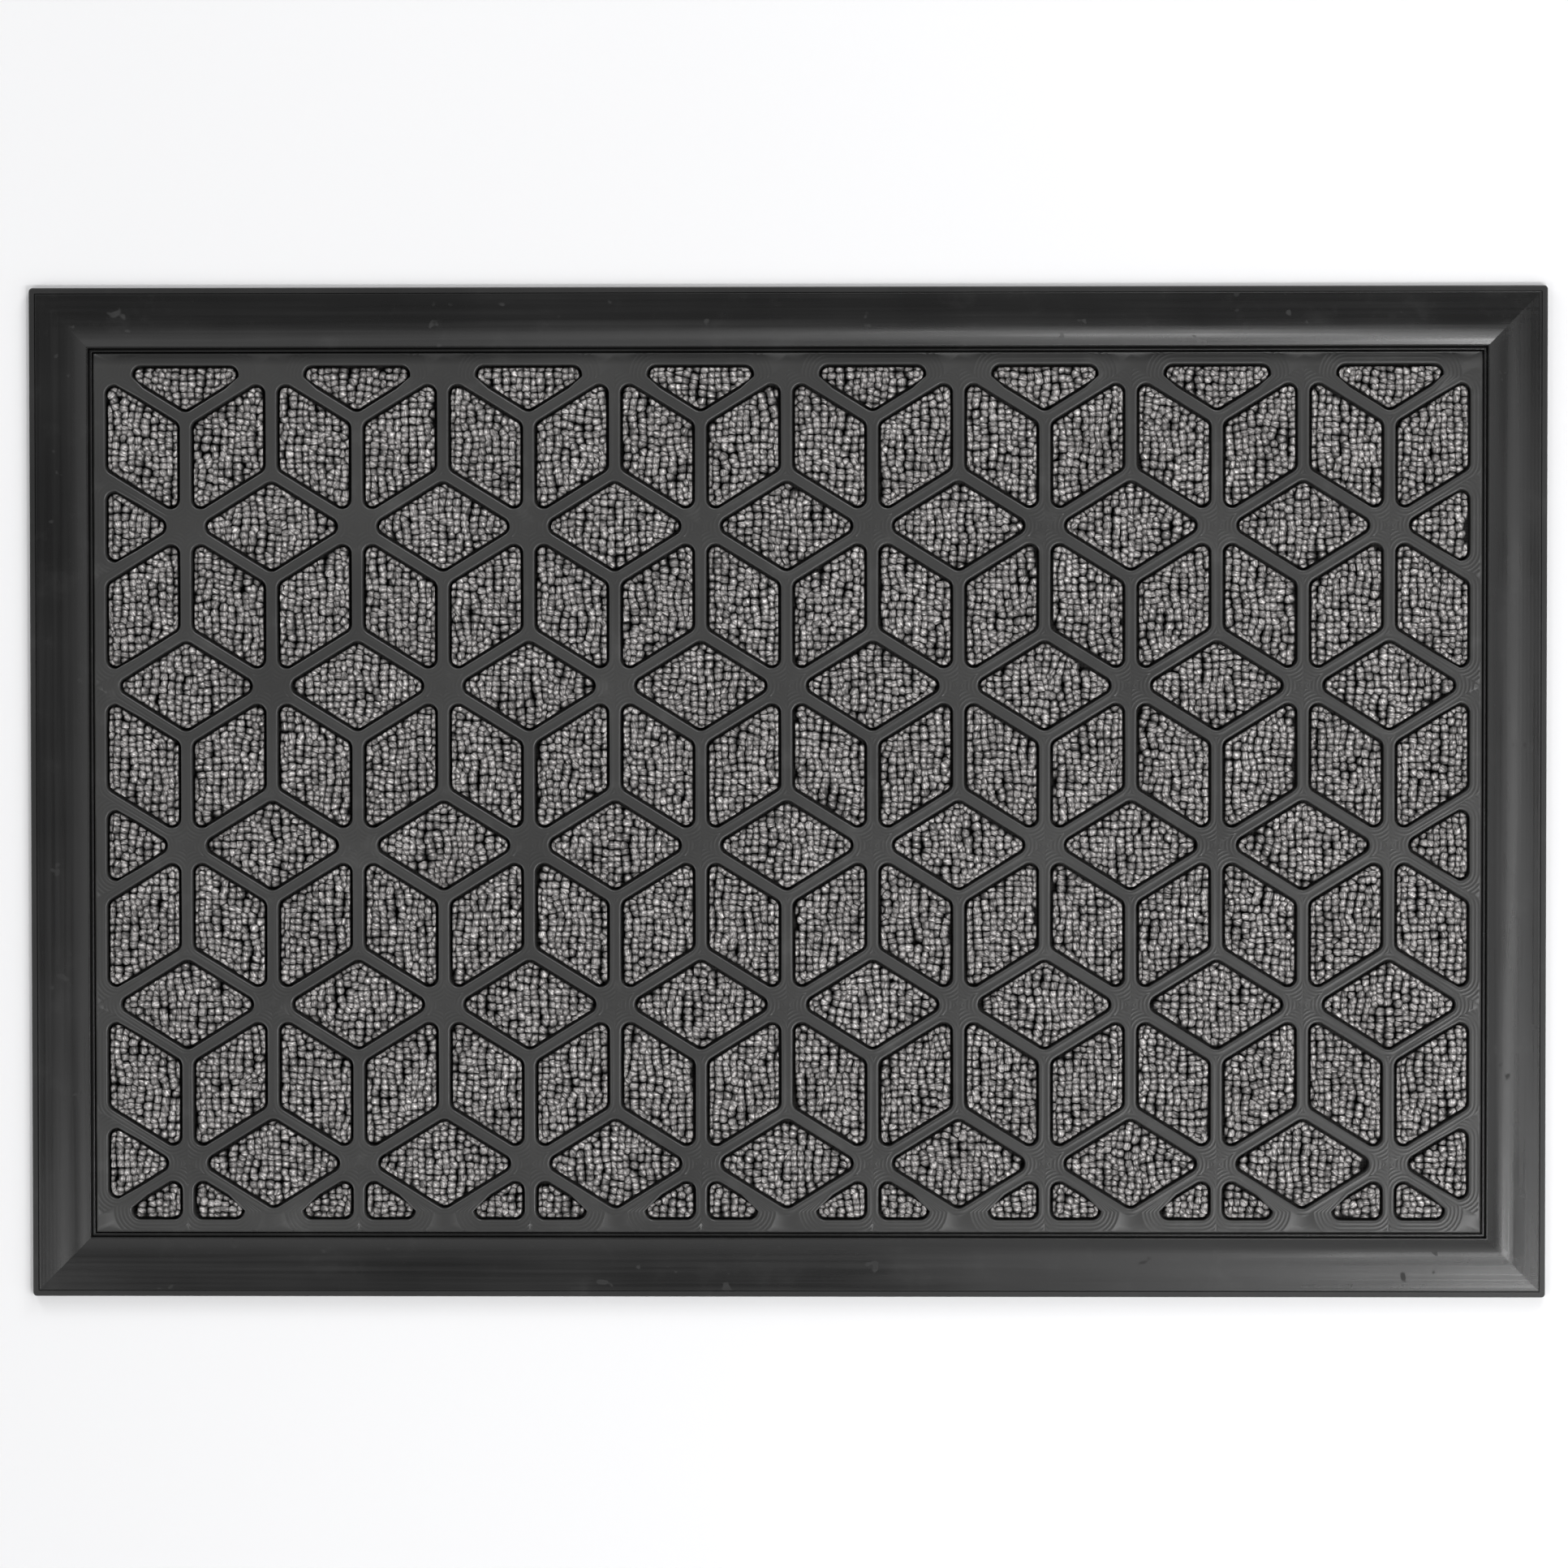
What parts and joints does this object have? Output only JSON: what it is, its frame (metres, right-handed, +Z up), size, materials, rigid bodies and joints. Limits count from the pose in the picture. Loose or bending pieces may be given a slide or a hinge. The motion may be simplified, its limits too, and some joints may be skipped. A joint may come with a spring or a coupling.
{
  "type": "door mat",
  "caption": "Rectangular rubber door mat with a bevelled border and a lattice of diamond pockets filled with loop-pile carpet.",
  "frame": {"origin": "on the floor, under the centre of the mat", "axes": "+X along the length, +Y across the width towards the edge with the cut diamonds, +Z up out of the pile"},
  "size_m": [0.6, 0.4, 0.008],
  "materials": {
    "black_rubber": "satin moulded",
    "cloth": "dark woven cloth",
    "loop_pile": "looped yarn"
  },
  "bodies": {
    "root": {"rubber_base": "black_rubber", "border_frame": "black_rubber", "carpet_backing_cloth": "cloth", "rib_grid": "black_rubber", "pile_bottom_triangles_left": "loop_pile", "pile_bottom_triangles_right": "loop_pile", "pile_diamond_row_1": "loop_pile", "pile_diamond_row_2": "loop_pile", "pile_diamond_row_3": "loop_pile", "pile_diamond_row_4": "loop_pile", "pile_diamond_row_5": "loop_pile", "pile_falling_row_1": "loop_pile", "pile_falling_row_2": "loop_pile", "pile_falling_row_3": "loop_pile", "pile_falling_row_4": "loop_pile", "pile_falling_row_5": "loop_pile", "pile_half_diamonds_left": "loop_pile", "pile_half_diamonds_right": "loop_pile", "pile_rising_row_1": "loop_pile", "pile_rising_row_2": "loop_pile", "pile_rising_row_3": "loop_pile", "pile_rising_row_4": "loop_pile", "pile_rising_row_5": "loop_pile", "pile_top_triangles": "loop_pile"}
  },
  "joints": []
}
